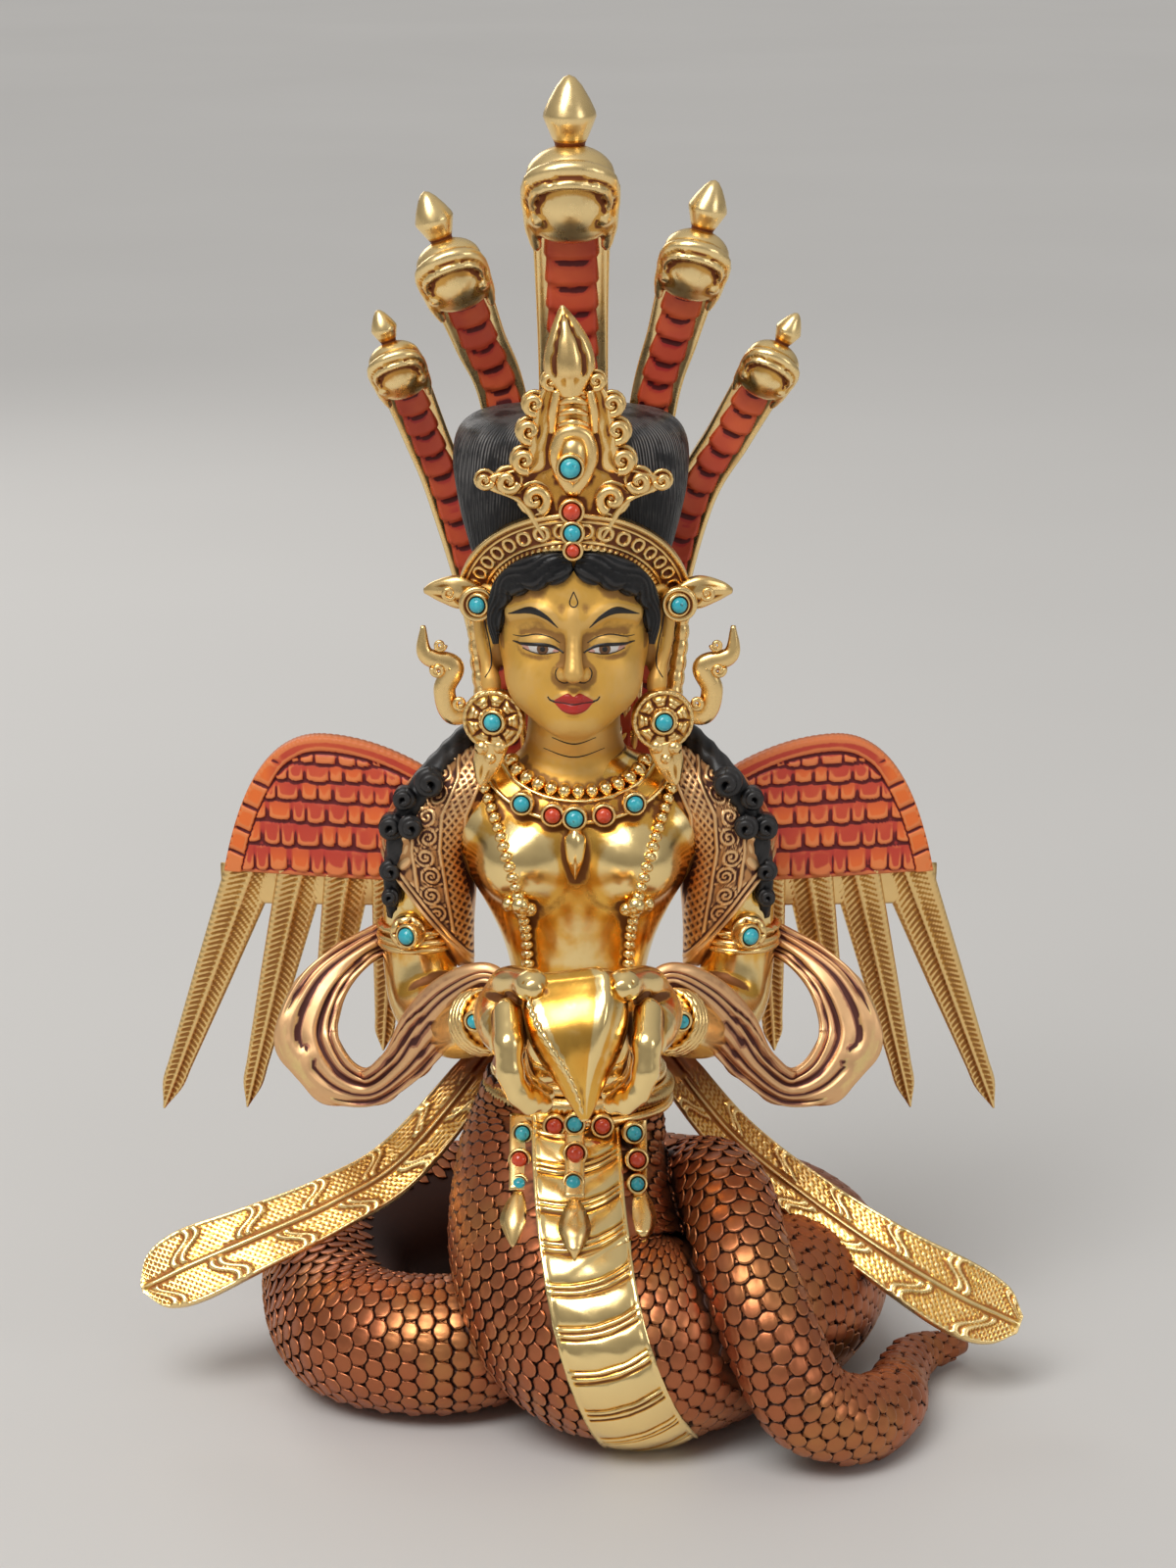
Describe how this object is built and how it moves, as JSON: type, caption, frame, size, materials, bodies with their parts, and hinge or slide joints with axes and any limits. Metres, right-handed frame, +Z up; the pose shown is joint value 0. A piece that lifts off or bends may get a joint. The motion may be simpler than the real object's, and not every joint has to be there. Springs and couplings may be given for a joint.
{
  "type": "naga queen statue",
  "caption": "Seated serpent-tailed goddess statuette in gilt and painted copper, with wings and a cobra canopy, holding a conch shell.",
  "frame": {"origin": "on the ground, under the middle of the statue's overall width and depth", "axes": "+Z up, the figure faces -Y, +X is her left"},
  "size_m": [0.1508, 0.1168, 0.2241],
  "materials": {
    "copper": "red-brown patina, rubbed bright on the high points",
    "gilt": "fire gilt, antiqued brown in the recesses",
    "face_gold": "matt cold gold paint",
    "hair_black": "satin black paint",
    "red_lacquer": "red paint, worn to gilt on the edges",
    "turquoise": "polished cabochon",
    "coral": "polished cabochon"
  },
  "bodies": {
    "root": {"figure": "copper", "cobra_canopy": "red_lacquer", "wing_right": "red_lacquer", "wing_left": "red_lacquer", "tail_plume_right": "gilt", "tail_plume_left": "gilt", "coral_belt_inner_left": "coral", "coral_belt_inner_right": "coral", "coral_crown": "coral", "coral_drop_centre": "coral", "coral_drop_outer_left": "coral", "coral_drop_outer_right": "coral", "coral_headband": "coral", "coral_necklace_inner_left": "coral", "coral_necklace_inner_right": "coral", "turquoise_armlet_left": "turquoise", "turquoise_armlet_right": "turquoise", "turquoise_belt_centre": "turquoise", "turquoise_belt_outer_left": "turquoise", "turquoise_belt_outer_right": "turquoise", "turquoise_bracelet_left": "turquoise", "turquoise_bracelet_right": "turquoise", "turquoise_crown": "turquoise", "turquoise_drop_centre": "turquoise", "turquoise_drop_outer_left": "turquoise", "turquoise_drop_outer_right": "turquoise", "turquoise_ear_knot_left": "turquoise", "turquoise_ear_knot_right": "turquoise", "turquoise_earring_left": "turquoise", "turquoise_earring_right": "turquoise", "turquoise_headband": "turquoise", "turquoise_necklace_centre": "turquoise", "turquoise_necklace_outer_left": "turquoise", "turquoise_necklace_outer_right": "turquoise"}
  },
  "joints": []
}
